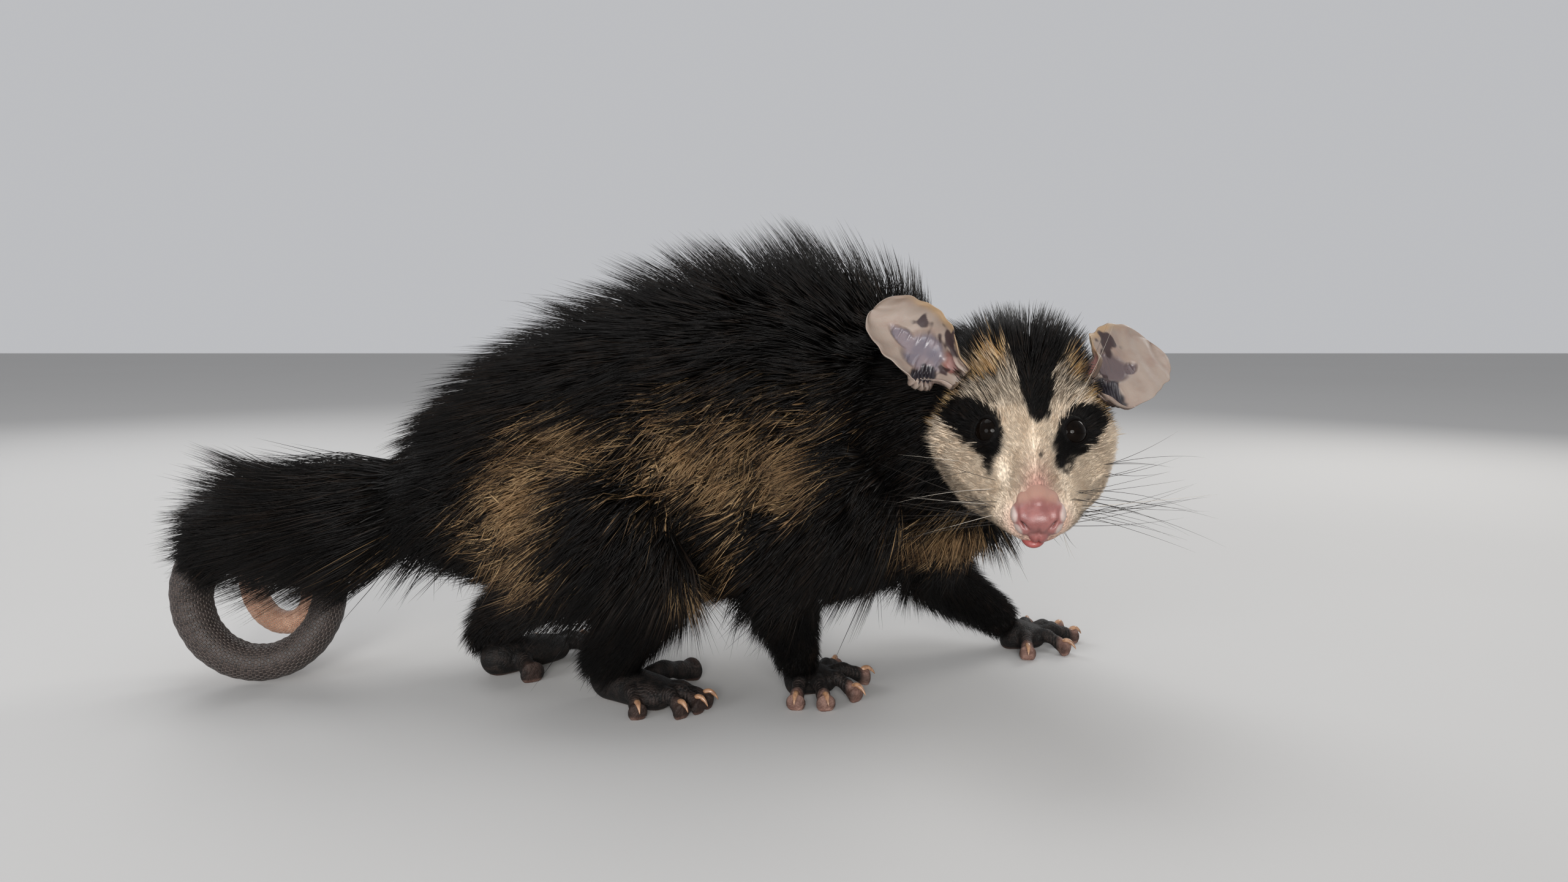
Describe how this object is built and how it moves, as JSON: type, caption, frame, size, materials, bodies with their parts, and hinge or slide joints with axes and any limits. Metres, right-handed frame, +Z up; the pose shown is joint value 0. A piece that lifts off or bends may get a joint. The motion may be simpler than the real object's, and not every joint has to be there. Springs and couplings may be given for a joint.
{
  "type": "opossum",
  "caption": "Still life-size white-eared opossum on its feet, back arched, head turned to its right, long black coat, curled bare tail.",
  "frame": {"origin": "centre of the bounding box, on the floor under the feet", "axes": "+X along the body towards the chest, +Y to the animal's left, +Z up from the floor"},
  "size_m": [0.452, 0.2272, 0.2102],
  "materials": {
    "black_coat": "long bristly black fur, dull sheen",
    "face_fur": "short cream fur, black eye patches and crown stripe",
    "leg_fur": "short black fur",
    "paw_skin": "black to brownish-pink bare skin",
    "ear_skin": "thin cream-pink bare skin, dark at the base",
    "nose_skin": "moist pink skin",
    "eyeball": "wet dark brown",
    "claw": "pale horn",
    "dark_tail": "dark scaly bare skin",
    "pale_tail": "pinkish-tan scaly bare skin"
  },
  "bodies": {
    "root": {"nose": "nose_skin", "eye_right": "eyeball", "eye_left": "eyeball", "head": "face_fur", "ear_right": "ear_skin", "ear_left": "ear_skin", "hind_foot_right": "paw_skin", "claw_hind_foot_right_second": "claw", "claw_hind_foot_right_third": "claw", "claw_hind_foot_right_fourth": "claw", "claw_hind_foot_right_fifth": "claw", "hind_foot_left": "paw_skin", "claw_hind_foot_left_second": "claw", "claw_hind_foot_left_third": "claw", "claw_hind_foot_left_fourth": "claw", "claw_hind_foot_left_fifth": "claw", "forefoot_right": "paw_skin", "claw_forefoot_right_thumb": "claw", "claw_forefoot_right_second": "claw", "claw_forefoot_right_third": "claw", "claw_forefoot_right_fourth": "claw", "claw_forefoot_right_fifth": "claw", "forefoot_left": "paw_skin", "claw_forefoot_left_thumb": "claw", "claw_forefoot_left_second": "claw", "claw_forefoot_left_third": "claw", "claw_forefoot_left_fourth": "claw", "claw_forefoot_left_fifth": "claw", "shank_right": "leg_fur", "shank_left": "leg_fur", "thigh_right": "leg_fur", "thigh_left": "leg_fur", "forearm_right": "leg_fur", "forearm_left": "leg_fur", "upper_arm_right": "leg_fur", "upper_arm_left": "leg_fur", "neck": "black_coat", "torso_front": "black_coat", "torso_rear": "black_coat", "tail_root": "black_coat", "tail_dark_1": "dark_tail", "tail_dark_2": "dark_tail", "tail_dark_3": "dark_tail", "tail_pale": "pale_tail", "tail_tip": "pale_tail"}
  },
  "joints": []
}
